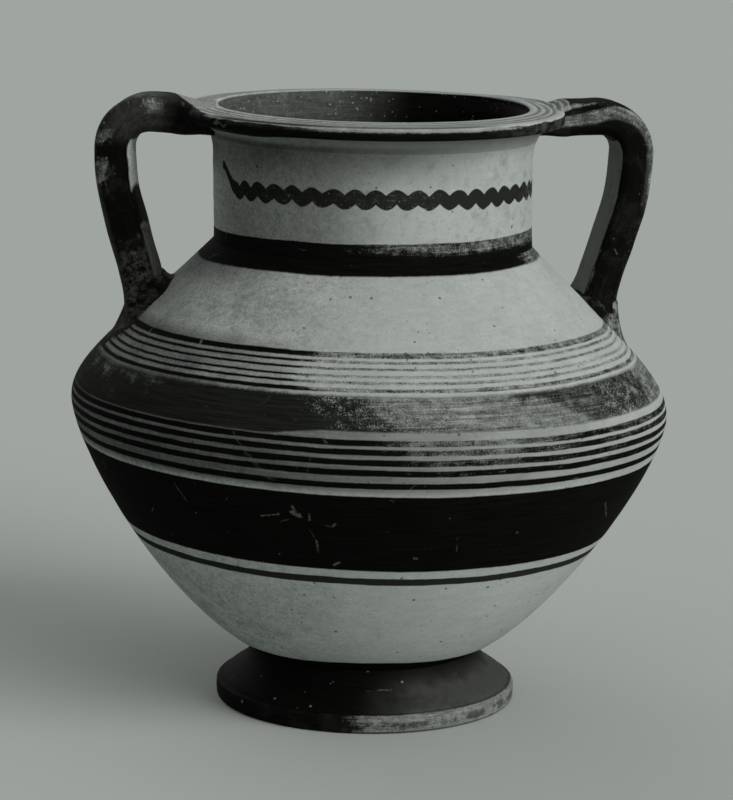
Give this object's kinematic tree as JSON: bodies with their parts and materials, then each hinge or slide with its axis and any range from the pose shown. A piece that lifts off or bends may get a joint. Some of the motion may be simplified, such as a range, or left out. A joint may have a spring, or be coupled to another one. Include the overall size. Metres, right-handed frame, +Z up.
{
  "type": "amphora krater",
  "caption": "Wide-bellied painted clay mixing vessel with a ring foot, an upright neck, a flat ledge rim and strap handles from rim to shoulder.",
  "frame": {"origin": "centre of the ring foot on the surface that the vessel stands on", "axes": "+Z up along the vessel's axis, -Y towards the front, +X to the right with the handles near +X and -X"},
  "size_m": [0.301, 0.301, 0.3072],
  "materials": {
    "foot_paint": "dark matt paint, worn paler along the edge",
    "lower_body_clay": "smoothed bare clay with a broad dark band and thin lines",
    "shoulder_clay": "smoothed bare clay with groups of thin lines and a worn matt band",
    "neck_clay": "smoothed bare clay with a wavy painted band, dark at its foot",
    "rim_paint": "dark matt paint with light rings along the ledge",
    "handle_paint": "dark matt paint rubbed through to the clay, bare on the inner face",
    "root_paint": "smeared clay under dark matt paint"
  },
  "bodies": {
    "root": {"foot": "foot_paint", "lower_body": "lower_body_clay", "shoulder": "shoulder_clay", "neck": "neck_clay", "rim": "rim_paint", "left_handle": "handle_paint", "right_handle": "handle_paint", "left_root_wad": "root_paint", "right_root_wad": "root_paint"}
  },
  "joints": []
}
